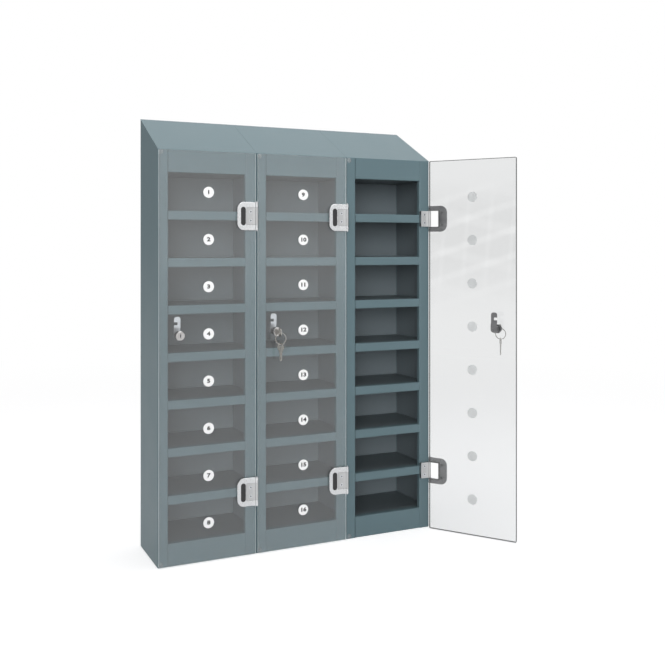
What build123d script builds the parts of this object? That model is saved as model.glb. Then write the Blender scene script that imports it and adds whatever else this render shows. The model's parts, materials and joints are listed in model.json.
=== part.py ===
from build123d import *
import math
import os

os.makedirs("parts", exist_ok=True)

# A bank of identical narrow steel lockers for phones. Each has a column of open
# compartments behind one clear door, and a roof that slopes up to the back.
# Millimetres, +Z up, +Y to the back. The origin is the middle of the footprint.
# Pieces are drawn in one locker's own frame: x from its left face, y from the
# front face of its frame, z from the floor. They are then placed in the bank.

# The bank
locker_count = 3
locker_width = 250.0
locker_depth = 180.0
front_height = 1000.0
roof_rise = 93.0
unit_gap = 0.4
door_rest_angles = [0.0, 0.0, 125.0]
keyed_lockers = [1, 2]

# Folded steel
sheet = 1.2
bend_radius = 2.0
edge_gap = 0.3

# Front frame
left_stile = 25.0
right_stile = 30.0
top_rail = 55.0
bottom_rail = 55.0
strike_depth = 20.0
return_depth = 12.0
rear_flange = 15.0
panel_flange = 12.0

# Compartments
compartment_count = 8
lip_height = 22.0
lip_return = 8.0

# Keyhole slots that hang the locker on wall screws
hanger_spacing = 150.0
hanger_entry_radius = 7.0
hanger_slot_width = 6.5
hanger_slot_rise = 14.0
hanger_drop = 60.0

# Bolts that join neighbouring lockers
join_bolt_radius = 3.0
join_hole_radius = 3.3
join_head_flats = 10.0
join_head_height = 4.0
join_nut_height = 5.0
join_bolt_end = 2.0
join_front_inset = 45.0
join_rear_inset = 45.0
join_roof_drop = 30.0

# Clear door
door_thickness = 5.0
door_gap = 1.4
door_side_gap = 1.2
door_end_gap = 1.5
door_corner_radius = 3.0
bumper_radius = 6.25
bumper_inset = 7.0
bumper_rest_gap = 0.3
bumper_chamfer = 0.4

# Number discs
disc_radius = 13.5
disc_thickness = 0.5
disc_centre_offset = -1.5
disc_row_offset = -3.2
disc_pitch_extra = 0.8

# Hinge
hinge_height = 70.0
hinge_reach = 51.0
hinge_bar = 23.5
hinge_corner_radius = 18.0
hinge_arm_height = 13.5
leaf_thickness = 3.2
leaf_gap = 0.5
hinge_axis_inset = 2.8
door_edge_to_axis = 1.5
ramp_length = 10.5
pin_radius = 1.5
pin_clearance = 0.05
pin_proud = 2.0
leaf_chamfer = 0.6
notch_gap = 1.3
pad_to_axis = 3.6
frame_screw_spacing = 22.0
frame_screw_to_axis = 16.2
cap_width = 12.6
cap_height = 46.0
cap_centre_to_edge = 15.5
cap_recess = 1.0
cap_thickness = 1.3
cap_clearance = 0.15
door_screw_spacing = 34.6
screw_radius = 2.0
screw_clearance = 0.15
screw_head_radius = 3.8
screw_head_height = 1.8
screw_sink = 0.1
frame_screw_tail = 6.0
screw_nut_flats = 7.0
screw_nut_height = 2.6

# Cam lock
lock_inset = 53.0
lock_compartment = 4
lock_above_shelf = 41.0
lock_face_radius = 11.0
lock_face_thickness = 2.6
lock_face_chamfer = 0.8
barrel_radius = 8.5
barrel_flats = 15.0
barrel_past_strike = 3.6
barrel_clearance = 0.2
lock_nut_flats = 22.0
lock_nut_height = 4.0
plug_radius = 6.0
plug_clearance = 0.05
plug_proud = 0.4
keyway_width = 2.4
keyway_height = 8.2
keyway_depth = 24.0
tail_square = 7.0
tail_screw_radius = 1.6
tail_screw_depth = 6.0
cam_clearance = 0.1
cam_thickness = 2.0
cam_running_gap = 0.4
cam_half_width = 8.0
cam_tip_inset = 9.0
cam_crank_start = 11.0
cam_crank_run = 6.0
cam_strike_gap = 0.6
cam_tip_radius = 6.0
cam_notch_start = 24.0
cam_notch_length = 7.0
cam_notch_depth = 8.5

# Keys and ring
key_thickness = 2.0
blade_height = 7.4
blade_length = 22.0
blade_point = 2.6
bitting_depths = [1.6, 2.4, 1.2, 2.0]
bitting_start = 6.0
bitting_pitch = 3.2
bitting_width = 2.2
bow_radius = 10.5
bow_neck_width = 11.0
bow_neck_length = 3.0
bow_hole_radius = 3.2
bow_hole_to_end = 5.2
ring_radius = 14.0
ring_wire_width = 1.8
ring_seat_gap = 0.9
spare_key_yaw = 30.0

# Worked out
locker_pitch = locker_width + unit_gap
bank_width = locker_count * locker_width + (locker_count - 1) * unit_gap
opening_bottom = bottom_rail
opening_top = front_height - top_rail
opening_height = opening_top - opening_bottom
shelf_pitch = (opening_height + lip_height) / compartment_count
compartment_height = shelf_pitch - lip_height
shelf_levels = [
    opening_top - compartment_height - number * shelf_pitch
    for number in range(compartment_count - 1)
]
slope = math.atan2(roof_rise, locker_depth)
roof_drop = sheet / math.cos(slope)
roof_slope_plane = Plane(
    origin=(0, 0, front_height),
    x_dir=(1, 0, 0),
    z_dir=(0, -math.sin(slope), math.cos(slope)),
)
inner_left = sheet + edge_gap
inner_right = locker_width - sheet - edge_gap
back_panel_rear = locker_depth - sheet
back_panel_front = back_panel_rear - sheet
panel_rear = back_panel_front - edge_gap
front_left = left_stile + edge_gap
front_right = locker_width - right_stile - edge_gap
wide_start = max(strike_depth, return_depth) + edge_gap
hanger_height = front_height + roof_rise - hanger_drop
join_points = [
    (join_front_inset, bottom_rail / 2),
    (locker_depth - join_rear_inset, bottom_rail / 2),
    (join_front_inset, front_height - join_roof_drop),
    (locker_depth - join_rear_inset, front_height - join_roof_drop),
]
join_bolt_length = 2 * sheet + unit_gap + join_nut_height + join_bolt_end

door_back = -door_gap
door_front = door_back - door_thickness
door_bottom = door_end_gap
door_top = front_height - door_end_gap
hinge_x = locker_width - hinge_axis_inset
hinge_y = door_front - leaf_thickness
door_left = door_side_gap
door_right = hinge_x - door_edge_to_axis
hinge_levels = [shelf_levels[0] - lip_height / 2, shelf_levels[-1] - lip_height / 2]
window_reach = hinge_reach - hinge_bar
window_height = hinge_height - 2 * hinge_arm_height
frame_leaf_height = window_height - 2 * leaf_gap
frame_leaf_reach = window_reach - leaf_gap
knuckle_radius = leaf_thickness
leaf_free_edge = hinge_x - hinge_reach
cap_x = leaf_free_edge + cap_centre_to_edge
frame_screw_x = hinge_x - frame_screw_to_axis

lock_height = shelf_levels[lock_compartment - 1] + lock_above_shelf
barrel_rear = strike_depth + barrel_past_strike
barrel_length = barrel_rear - door_front
plug_front = door_front - lock_face_thickness - plug_proud
cam_front = barrel_rear + cam_running_gap
cam_rear = cam_front + cam_thickness
cam_tip_front = strike_depth + cam_strike_gap
cam_reach = lock_inset - cam_tip_inset
key_hole_y = plug_front - bow_neck_length - 2 * bow_radius + bow_hole_to_end
ring_top = lock_height - bow_hole_radius + ring_wire_width / 2 + ring_seat_gap
ring_centre = ring_top - ring_radius
spare_hole = ring_centre - ring_radius - bow_hole_radius + ring_wire_width / 2 + ring_seat_gap
disc_x = locker_width / 2 + disc_centre_offset
disc_pitch = shelf_pitch + disc_pitch_extra
disc_row_middle = (opening_bottom + opening_top) / 2 + disc_row_offset
disc_levels = [
    disc_row_middle + (number - (compartment_count - 1) / 2) * disc_pitch
    for number in range(compartment_count)
]


def front_plane(y):
    """Upright plane at depth y, with its normal towards the front."""
    return Plane.XZ.offset(-y)


def in_bank(index):
    """Place of a locker in the bank."""
    return Location((index * locker_pitch - bank_width / 2, -locker_depth / 2, 0))


def on_door(index):
    """Place of what hangs on a locker's door, at the door's resting angle."""
    hinge_line = Location((hinge_x, hinge_y, 0))
    opened = Location((0, 0, 0), (0, 0, door_rest_angles[index]))
    return in_bank(index) * hinge_line * opened * hinge_line.inverse()


def save(part, label):
    part.label = label
    export_step(part, f"parts/{label}.step")


def save_in_bank(part, label):
    for index in range(locker_count):
        save(in_bank(index) * part, f"{label}_{index + 1}")


def save_on_doors(part, label):
    for index in range(locker_count):
        save(on_door(index) * part, f"{label}_{index + 1}")


def folded_section(points, inside):
    """Section of a sheet folded along the points of its outer surface."""
    with BuildSketch() as section:
        with BuildLine():
            FilletPolyline(*points, radius=bend_radius)
            offset(amount=sheet, side=inside)
        make_face()
    return section.sketch


def frame_screw_levels():
    return [z + side * frame_screw_spacing / 2 for z in hinge_levels for side in (-1, 1)]


def barrel_section(clearance):
    """Outline of the lock's body, a circle with a flat each side."""
    with BuildSketch() as section:
        Circle(barrel_radius + clearance)
        Rectangle(
            barrel_flats + 2 * clearance,
            2 * (barrel_radius + clearance),
            mode=Mode.INTERSECT,
        )
    return section.sketch


def side_panel(stile, stile_return, on_right, joined):
    """Side of a locker, folded at the front into a stile and at the back into a flange."""
    points = [
        (stile, stile_return),
        (stile, 0),
        (0, 0),
        (0, locker_depth),
        (rear_flange, locker_depth),
    ]
    inside = Side.RIGHT
    if on_right:
        points = [(locker_width - x, y) for x, y in points]
        inside = Side.LEFT
    wall_x = locker_width if on_right else sheet
    with BuildPart() as panel:
        with BuildSketch():
            add(folded_section(points, inside))
        extrude(amount=front_height + roof_rise)
        split(bisect_by=roof_slope_plane.offset(-sheet), keep=Keep.BOTTOM)
        if joined:
            with BuildSketch(Plane.YZ.offset(wall_x)):
                with Locations(*join_points):
                    Circle(join_hole_radius)
            extrude(amount=-sheet, mode=Mode.SUBTRACT)
        if on_right:
            with BuildSketch(front_plane(0)):
                with Locations(*[(frame_screw_x, z) for z in frame_screw_levels()]):
                    Circle(screw_radius + screw_clearance)
            extrude(amount=-sheet, mode=Mode.SUBTRACT)
    return panel.part


def folded_shelf(top, drop, front_return):
    """Level panel folded down at the front by drop, with a return, and at the back."""
    with BuildPart() as shelf:
        with BuildSketch(Plane.YZ.offset(front_left)):
            add(
                folded_section(
                    [
                        (front_return, top - drop),
                        (0, top - drop),
                        (0, top),
                        (panel_rear, top),
                        (panel_rear, top - panel_flange),
                    ],
                    Side.RIGHT,
                )
            )
        extrude(amount=front_right - front_left)
        with BuildSketch(Plane.YZ.offset(inner_left)):
            add(
                folded_section(
                    [(wide_start, top), (panel_rear, top), (panel_rear, top - panel_flange)],
                    Side.RIGHT,
                )
            )
        extrude(amount=inner_right - inner_left)
    return shelf.part


# Carcass of each locker
for index in range(locker_count):
    joined_left = index > 0
    joined_right = index < locker_count - 1
    left_panel = side_panel(left_stile, strike_depth, False, joined_left)
    right_panel = side_panel(right_stile, return_depth, True, joined_right)
    save(in_bank(index) * left_panel, f"side_panel_left_{index + 1}")
    save(in_bank(index) * right_panel, f"side_panel_right_{index + 1}")

with BuildPart() as roof:
    with BuildSketch(Plane.YZ):
        with BuildLine():
            Polyline(
                (0, front_height),
                (locker_depth, front_height + roof_rise),
                (locker_depth, front_height + roof_rise - roof_drop),
                (0, front_height - roof_drop),
                close=True,
            )
        make_face()
    extrude(amount=locker_width)
    with BuildSketch(Plane.YZ.offset(front_left)):
        add(
            folded_section(
                [
                    (return_depth, opening_top),
                    (0, opening_top),
                    (0, front_height - roof_drop / 2),
                ],
                Side.RIGHT,
            )
        )
    extrude(amount=front_right - front_left)
    fillet(roof.edges().filter_by(Axis.X).group_by(Axis.Y)[0].sort_by(Axis.Z)[-1], sheet * 0.8)
save_in_bank(roof.part, "roof")

with BuildPart() as ceiling:
    with BuildSketch(Plane.XZ.offset(-wide_start)):
        with BuildLine():
            FilletPolyline(
                (inner_left, opening_top + sheet + panel_flange),
                (inner_left, opening_top + sheet),
                (inner_right, opening_top + sheet),
                (inner_right, opening_top + sheet + panel_flange),
                radius=bend_radius,
            )
            offset(amount=sheet, side=Side.LEFT)
        make_face()
    extrude(amount=wide_start - panel_rear)
    with BuildSketch(Plane.XY.offset(opening_top + sheet)):
        with Locations((front_left, bend_radius + edge_gap)):
            Rectangle(
                front_right - front_left,
                wide_start - bend_radius - edge_gap,
                align=(Align.MIN, Align.MIN),
            )
    extrude(amount=sheet)

with BuildPart() as ceilings:
    with Locations(*[in_bank(index) for index in range(locker_count)]):
        add(ceiling.part)
save(ceilings.part, "ceilings")

with BuildPart() as bottom_panel:
    with BuildSketch(Plane.XZ.offset(-wide_start)):
        add(
            folded_section(
                [
                    (inner_left, panel_flange),
                    (inner_left, 0),
                    (inner_right, 0),
                    (inner_right, panel_flange),
                ],
                Side.LEFT,
            )
        )
    extrude(amount=wide_start - panel_rear)

with BuildPart() as bottom_panels:
    with Locations(*[in_bank(index) for index in range(locker_count)]):
        add(bottom_panel.part)
save(bottom_panels.part, "bottom_panels")

save_in_bank(folded_shelf(bottom_rail, bottom_rail, strike_depth - edge_gap), "floor_panel")

with BuildPart() as shelves:
    for level in shelf_levels:
        add(folded_shelf(level, lip_height, lip_return))
save_in_bank(shelves.part, "shelves")

with BuildPart() as back_panel:
    with BuildSketch(front_plane(back_panel_front)):
        with Locations((locker_width / 2, 0)):
            Rectangle(
                locker_width - 2 * bend_radius - 2 * edge_gap,
                front_height + roof_rise,
                align=(Align.CENTER, Align.MIN),
            )
        with Locations(
            *[(locker_width / 2 + side * hanger_spacing / 2, hanger_height) for side in (-1, 1)]
        ):
            Circle(hanger_entry_radius, mode=Mode.SUBTRACT)
        with Locations(
            *[
                (locker_width / 2 + side * hanger_spacing / 2, hanger_height + hanger_slot_rise / 2)
                for side in (-1, 1)
            ]
        ):
            SlotCenterToCenter(
                hanger_slot_rise, hanger_slot_width, rotation=90, mode=Mode.SUBTRACT
            )
    extrude(amount=-sheet)
    split(bisect_by=roof_slope_plane.offset(-sheet - edge_gap), keep=Keep.BOTTOM)
save_in_bank(back_panel.part, "back_panel")

# Bolts and nuts between neighbouring lockers, in the voids above and below
with BuildPart() as join_bolt:
    with BuildSketch(Plane.YZ.offset(locker_width - sheet)):
        RegularPolygon(join_head_flats / 2, 6, major_radius=False)
    extrude(amount=-join_head_height)
    with BuildSketch(Plane.YZ.offset(locker_width - sheet)):
        Circle(join_bolt_radius)
    extrude(amount=join_bolt_length)

with BuildPart() as join_nut:
    with BuildSketch(Plane.YZ.offset(locker_pitch + sheet)):
        RegularPolygon(join_head_flats / 2, 6, major_radius=False)
        Circle(join_bolt_radius + pin_clearance, mode=Mode.SUBTRACT)
    extrude(amount=join_nut_height)

join_places = [
    in_bank(index) * Location((0, y, z))
    for index in range(locker_count - 1)
    for y, z in join_points
]
with BuildPart() as joining_bolts:
    with Locations(*join_places):
        add(join_bolt.part)
save(joining_bolts.part, "joining_bolts")
with BuildPart() as joining_nuts:
    with Locations(*join_places):
        add(join_nut.part)
save(joining_nuts.part, "joining_nuts")

# Clear buffers on the lock-side corners of the frame
with BuildPart() as bumper:
    with BuildSketch(front_plane(0)):
        with Locations((bumper_inset, 0)):
            Circle(bumper_radius)
    extrude(amount=door_gap - bumper_rest_gap)
    chamfer(bumper.faces().sort_by(Axis.Y)[0].edges(), bumper_chamfer)

with BuildPart() as door_bumpers:
    with Locations(
        *[
            in_bank(index) * Location((0, 0, z))
            for index in range(locker_count)
            for z in (bumper_inset, front_height - bumper_inset)
        ]
    ):
        add(bumper.part)
save(door_bumpers.part, "door_bumpers")

# Hinge: a D-shaped leaf on the door and a leaf on the frame that nests inside it.
# Each is drawn about its own mid height and then set at both hinge levels.
hinge_line_plane = Plane(origin=(hinge_x, hinge_y, 0))


def knuckle_section():
    """Knuckle round the pin, with the ramp that runs up to it from the leaf's face."""
    with BuildSketch() as section:
        Circle(knuckle_radius)
        with BuildLine():
            ramp_top = math.sqrt(ramp_length**2 - knuckle_radius**2) / ramp_length * knuckle_radius
            Polyline(
                (-ramp_length, 0),
                (-(knuckle_radius**2) / ramp_length, -ramp_top),
                (0, 0),
                (0, leaf_thickness),
                (-ramp_length, leaf_thickness),
                close=True,
            )
        make_face()
        Circle(pin_radius + pin_clearance, mode=Mode.SUBTRACT)
    return section.sketch


with BuildPart() as door_leaf:
    with BuildSketch(front_plane(door_front)) as ring_shape:
        with Locations((leaf_free_edge, 0)):
            Rectangle(hinge_reach - ramp_length / 2, hinge_height, align=(Align.MIN, Align.CENTER))
        fillet(ring_shape.vertices().group_by(Axis.X)[0], hinge_corner_radius)
        with Locations((hinge_x, 0)):
            Rectangle(
                window_reach, window_height, align=(Align.MAX, Align.CENTER), mode=Mode.SUBTRACT
            )
    extrude(amount=leaf_thickness)
    front_edges = door_leaf.faces().sort_by(Axis.Y)[0].outer_wire().edges()
    chamfer(front_edges.filter_by(lambda edge: edge.center().X < cap_x), leaf_chamfer)
    for side in (-1, 1):
        with BuildSketch(hinge_line_plane.offset(side * hinge_height / 2)):
            add(knuckle_section())
        extrude(amount=-side * hinge_arm_height)
    with BuildSketch(front_plane(hinge_y)):
        with Locations((cap_x, 0)):
            SlotOverall(cap_height, cap_width, rotation=90)
    extrude(amount=-cap_recess, mode=Mode.SUBTRACT)
    with Locations(
        *[
            front_plane(hinge_y + cap_recess) * Location((cap_x, side * door_screw_spacing / 2, 0))
            for side in (-1, 1)
        ]
    ):
        CounterSinkHole(
            screw_radius + screw_clearance, screw_head_radius + screw_clearance
        )

with BuildPart() as frame_leaf:
    with BuildSketch(front_plane(door_front)):
        with Locations((hinge_x - frame_leaf_reach, 0)):
            Rectangle(
                frame_leaf_reach - ramp_length / 2,
                frame_leaf_height,
                align=(Align.MIN, Align.CENTER),
            )
    extrude(amount=leaf_thickness)
    with BuildSketch(front_plane(0)):
        with Locations((hinge_x - frame_leaf_reach, 0)):
            Rectangle(
                frame_leaf_reach - pad_to_axis,
                frame_leaf_height,
                align=(Align.MIN, Align.CENTER),
            )
    extrude(amount=-door_front)
    with BuildSketch(hinge_line_plane.offset(-frame_leaf_height / 2)):
        add(knuckle_section())
    extrude(amount=frame_leaf_height)
    with Locations(
        *[
            front_plane(hinge_y) * Location((frame_screw_x, side * frame_screw_spacing / 2, 0))
            for side in (-1, 1)
        ]
    ):
        CounterSinkHole(
            screw_radius + screw_clearance, screw_head_radius + screw_clearance
        )

with BuildPart() as hinge_pin:
    with BuildSketch(hinge_line_plane.offset(-hinge_height / 2 - pin_proud)):
        Circle(pin_radius)
    extrude(amount=hinge_height + 2 * pin_proud)

frame_hinge_places = [
    in_bank(index) * Location((0, 0, z)) for index in range(locker_count) for z in hinge_levels
]
with BuildPart() as hinge_frame_leaves:
    with Locations(*frame_hinge_places):
        add(frame_leaf.part)
save(hinge_frame_leaves.part, "hinge_frame_leaves")
with BuildPart() as hinge_pins:
    with Locations(*frame_hinge_places):
        add(hinge_pin.part)
save(hinge_pins.part, "hinge_pins")


def countersunk_screw(face_y, x, shank_end):
    """Screw whose flat head lies just under the surface at face_y."""
    head_top = face_y + screw_sink
    with BuildPart() as screw:
        with BuildSketch(front_plane(head_top)):
            Circle(screw_head_radius)
        with BuildSketch(front_plane(head_top + screw_head_height)):
            Circle(screw_radius)
        loft()
        with BuildSketch(front_plane(head_top + screw_head_height)):
            Circle(screw_radius)
        extrude(amount=-(shank_end - head_top - screw_head_height))
    return Location((x, 0, 0)) * screw.part


frame_screw = countersunk_screw(hinge_y, frame_screw_x, sheet + frame_screw_tail)
with BuildPart() as hinge_frame_screws:
    with Locations(
        *[
            in_bank(index) * Location((0, 0, z))
            for index in range(locker_count)
            for z in frame_screw_levels()
        ]
    ):
        add(frame_screw)
save(hinge_frame_screws.part, "hinge_frame_screws")

door_screw = countersunk_screw(hinge_y + cap_recess, cap_x, door_back + screw_nut_height)
with BuildPart() as screw_nut:
    with BuildSketch(front_plane(door_back)):
        with Locations((cap_x, 0)):
            RegularPolygon(screw_nut_flats / 2, 6, major_radius=False)
            Circle(screw_radius + pin_clearance, mode=Mode.SUBTRACT)
    extrude(amount=-screw_nut_height)

door_screw_places = [
    Location((0, 0, z + side * door_screw_spacing / 2)) for z in hinge_levels for side in (-1, 1)
]
with BuildPart() as hinge_door_screws:
    with Locations(*door_screw_places):
        add(door_screw)
        add(screw_nut.part)
save_on_doors(hinge_door_screws.part, "hinge_door_screws")

with BuildPart() as hinge_cap:
    with BuildSketch(front_plane(hinge_y + cap_recess)):
        with Locations((cap_x, 0)):
            SlotOverall(
                cap_height - 2 * cap_clearance, cap_width - 2 * cap_clearance, rotation=90
            )
    extrude(amount=cap_thickness)

with BuildPart() as hinge_door_leaves:
    with Locations(*[(0, 0, z) for z in hinge_levels]):
        add(door_leaf.part)
save_on_doors(hinge_door_leaves.part, "hinge_door_leaves")
with BuildPart() as hinge_caps:
    with Locations(*[(0, 0, z) for z in hinge_levels]):
        add(hinge_cap.part)
save_on_doors(hinge_caps.part, "hinge_caps")

# Door, notched for the frame leaves and bored for the lock and the hinge screws
with BuildPart() as door:
    with BuildSketch(front_plane(door_back)) as door_outline:
        with BuildLine():
            Polyline(
                (door_left, door_bottom),
                (door_right, door_bottom),
                (door_right, door_top),
                (door_left, door_top),
                close=True,
            )
        make_face()
        fillet(door_outline.vertices(), door_corner_radius)
        with Locations(*[(door_right, z) for z in hinge_levels]):
            Rectangle(
                door_right - hinge_x + frame_leaf_reach + notch_gap,
                frame_leaf_height + 2 * notch_gap,
                align=(Align.MAX, Align.CENTER),
                mode=Mode.SUBTRACT,
            )
        with Locations(*[(cap_x, place.position.Z) for place in door_screw_places]):
            Circle(screw_radius + screw_clearance, mode=Mode.SUBTRACT)
        add(
            Location((lock_inset, lock_height, 0))
            * barrel_section(barrel_clearance),
            mode=Mode.SUBTRACT,
        )
    extrude(amount=door_thickness)
save_on_doors(door.part, "door")

# Numbers, on plain discs
with BuildPart() as number_discs:
    with BuildSketch(front_plane(door_front)):
        with Locations(*[(disc_x, z) for z in disc_levels]):
            Circle(disc_radius)
    extrude(amount=disc_thickness)
save_on_doors(number_discs.part, "number_discs")

# Cam lock. It rests unlocked, with the cam straight up.
with BuildPart() as lock_barrel:
    with BuildSketch(front_plane(door_front)):
        with Locations((lock_inset, lock_height)):
            Circle(lock_face_radius)
    extrude(amount=lock_face_thickness)
    chamfer(lock_barrel.faces().sort_by(Axis.Y)[0].edges(), lock_face_chamfer)
    with BuildSketch(front_plane(door_front)):
        add(Location((lock_inset, lock_height, 0)) * barrel_section(0))
    extrude(amount=-barrel_length)
    with BuildSketch(front_plane(barrel_rear)):
        with Locations((lock_inset, lock_height)):
            Circle(plug_radius + plug_clearance)
    extrude(amount=barrel_length + lock_face_thickness, mode=Mode.SUBTRACT)
save_on_doors(lock_barrel.part, "lock_barrel")

with BuildPart() as lock_nut:
    with BuildSketch(front_plane(door_back)):
        with Locations((lock_inset, lock_height)):
            RegularPolygon(lock_nut_flats / 2, 6, major_radius=False)
        add(
            Location((lock_inset, lock_height, 0)) * barrel_section(pin_clearance),
            mode=Mode.SUBTRACT,
        )
    extrude(amount=-lock_nut_height)
save_on_doors(lock_nut.part, "lock_nut")

with BuildPart() as lock_plug:
    with BuildSketch(front_plane(plug_front)):
        with Locations((lock_inset, lock_height)):
            Circle(plug_radius)
            Rectangle(keyway_width, keyway_height, mode=Mode.SUBTRACT)
    extrude(amount=-keyway_depth)
    with BuildSketch(front_plane(plug_front + keyway_depth)):
        with Locations((lock_inset, lock_height)):
            Circle(plug_radius)
    extrude(amount=plug_front + keyway_depth - cam_front)
    with BuildSketch(front_plane(cam_front)):
        with Locations((lock_inset, lock_height)):
            Rectangle(tail_square, tail_square)
    extrude(amount=cam_front - cam_rear)
    with BuildSketch(front_plane(cam_rear)):
        with Locations((lock_inset, lock_height)):
            Circle(tail_screw_radius)
    extrude(amount=tail_screw_depth, mode=Mode.SUBTRACT)
save_on_doors(lock_plug.part, "lock_plug")

with BuildPart() as lock_cam:
    with BuildSketch(Plane.YZ.offset(lock_inset - cam_half_width)):
        with BuildLine():
            Polyline(
                (cam_front, lock_height - cam_half_width),
                (cam_front, lock_height + cam_crank_start),
                (cam_tip_front, lock_height + cam_crank_start + cam_crank_run),
                (cam_tip_front, lock_height + cam_reach),
                (cam_tip_front + cam_thickness, lock_height + cam_reach),
                (cam_tip_front + cam_thickness, lock_height + cam_crank_start + cam_crank_run),
                (cam_rear, lock_height + cam_crank_start),
                (cam_rear, lock_height - cam_half_width),
                close=True,
            )
        make_face()
    extrude(amount=2 * cam_half_width)
    with BuildSketch(front_plane(cam_tip_front - cam_thickness)) as cam_outline:
        with Locations((lock_inset, lock_height)):
            Circle(cam_half_width)
            Rectangle(2 * cam_half_width, cam_reach, align=(Align.CENTER, Align.MIN))
        fillet(cam_outline.vertices().group_by(Axis.Y)[-1], cam_tip_radius)
        with Locations((lock_inset - cam_half_width, lock_height + cam_notch_start)):
            Rectangle(
                cam_notch_depth, cam_notch_length, align=(Align.MIN, Align.MIN), mode=Mode.SUBTRACT
            )
        with Locations((lock_inset, lock_height)):
            Rectangle(
                tail_square + 2 * cam_clearance,
                tail_square + 2 * cam_clearance,
                mode=Mode.SUBTRACT,
            )
    extrude(amount=-(cam_rear - cam_tip_front + 2 * cam_thickness), mode=Mode.INTERSECT)
save_on_doors(lock_cam.part, "lock_cam")

# Key, drawn with its shoulder on the plug's face and its blade in the keyway
with BuildPart() as key:
    with BuildSketch(Plane.YZ.offset(lock_inset - key_thickness / 2)):
        with Locations((plug_front - bow_neck_length - bow_radius, lock_height)):
            Circle(bow_radius)
        with Locations((plug_front, lock_height)):
            Rectangle(
                bow_neck_length + bow_radius, bow_neck_width, align=(Align.MAX, Align.CENTER)
            )
            Rectangle(blade_length, blade_height, align=(Align.MIN, Align.CENTER))
        with Locations((key_hole_y, lock_height)):
            Circle(bow_hole_radius, mode=Mode.SUBTRACT)
        for number, depth in enumerate(bitting_depths):
            cut_y = plug_front + bitting_start + number * bitting_pitch
            with BuildLine():
                Polyline(
                    (cut_y - bitting_width, lock_height + blade_height / 2),
                    (cut_y, lock_height + blade_height / 2 - depth),
                    (cut_y + bitting_width, lock_height + blade_height / 2),
                    close=True,
                )
            make_face(mode=Mode.SUBTRACT)
    extrude(amount=key_thickness)
    chamfer(key.edges().filter_by(Axis.X).group_by(Axis.Y)[-1], blade_point)

with BuildPart() as key_ring:
    with BuildSketch(front_plane(key_hole_y + ring_wire_width / 2)):
        with Locations((lock_inset, ring_centre)):
            Circle(ring_radius + ring_wire_width / 2)
            Circle(ring_radius - ring_wire_width / 2, mode=Mode.SUBTRACT)
    extrude(amount=ring_wire_width)

key_hole = Location((lock_inset, key_hole_y, lock_height))
hanging = Location((lock_inset, key_hole_y, spare_hole), (0, 0, spare_key_yaw))
spare_key = hanging * Location((0, 0, 0), (-90, 0, 0)) * key_hole.inverse() * key.part

for index in keyed_lockers:
    save(on_door(index) * key.part, f"key_{index + 1}")
    save(on_door(index) * key_ring.part, f"key_ring_{index + 1}")
    save(on_door(index) * spare_key, f"spare_key_{index + 1}")
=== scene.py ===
import json
import math

import bpy
from mathutils import Matrix, Vector


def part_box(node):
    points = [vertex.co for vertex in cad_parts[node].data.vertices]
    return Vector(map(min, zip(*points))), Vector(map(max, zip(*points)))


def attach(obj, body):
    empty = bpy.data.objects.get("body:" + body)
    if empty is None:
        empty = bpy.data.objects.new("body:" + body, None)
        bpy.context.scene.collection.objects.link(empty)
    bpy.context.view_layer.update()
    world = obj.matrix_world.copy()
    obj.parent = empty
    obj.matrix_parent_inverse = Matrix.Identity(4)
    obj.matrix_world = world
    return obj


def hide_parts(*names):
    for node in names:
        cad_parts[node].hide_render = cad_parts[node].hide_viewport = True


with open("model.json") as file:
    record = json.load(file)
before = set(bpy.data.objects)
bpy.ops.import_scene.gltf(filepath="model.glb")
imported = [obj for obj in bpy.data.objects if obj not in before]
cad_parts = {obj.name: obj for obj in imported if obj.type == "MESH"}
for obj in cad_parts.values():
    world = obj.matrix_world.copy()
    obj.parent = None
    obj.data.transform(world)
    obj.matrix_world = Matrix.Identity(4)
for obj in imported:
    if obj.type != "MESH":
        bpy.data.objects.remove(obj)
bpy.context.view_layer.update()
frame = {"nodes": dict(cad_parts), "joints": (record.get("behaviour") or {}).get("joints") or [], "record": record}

mm = 0.001
lockers = (1, 2, 3)
keyedLockers = (2, 3)
nodes = frame["nodes"]
joints = {joint["name"]: joint for joint in frame["joints"]}
bodies = frame["record"]["behaviour"]["bodies"]
bodyOfNode = {node: body for body, members in bodies.items() for node in members}
slotOfNode = {part["node"]: part["material_slot"] for part in frame["record"]["subparts"]}


# Places. A locker's own frame starts at its left face, at the steel frame's face and at the floor.
def lockerCorner(number):
    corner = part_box(f"side_panel_left_{number}")[0]
    return Vector((corner.x, corner.y, 0))


def hingeLine(number):
    return Vector(joints[f"door_{number}_swing"]["pos_m"])


def restAngle(number):
    # only the third door stands open, by as much as it can swing shut
    return -math.radians(joints[f"door_{number}_swing"]["range_deg"][0])


def doorTurn(number):
    return Matrix.Rotation(restAngle(number), 4, "Z")


def doorPlace(number):
    toHinge = Matrix.Translation(hingeLine(number))
    toLocker = Matrix.Translation(lockerCorner(number))
    return toHinge @ doorTurn(number) @ toHinge.inverted() @ toLocker


def doorFront(number):
    # the way that a door's outer face looks
    return doorTurn(number) @ Vector((0, -1, 0))


def middle(node):
    low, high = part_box(node)
    return (low + high) / 2


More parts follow.
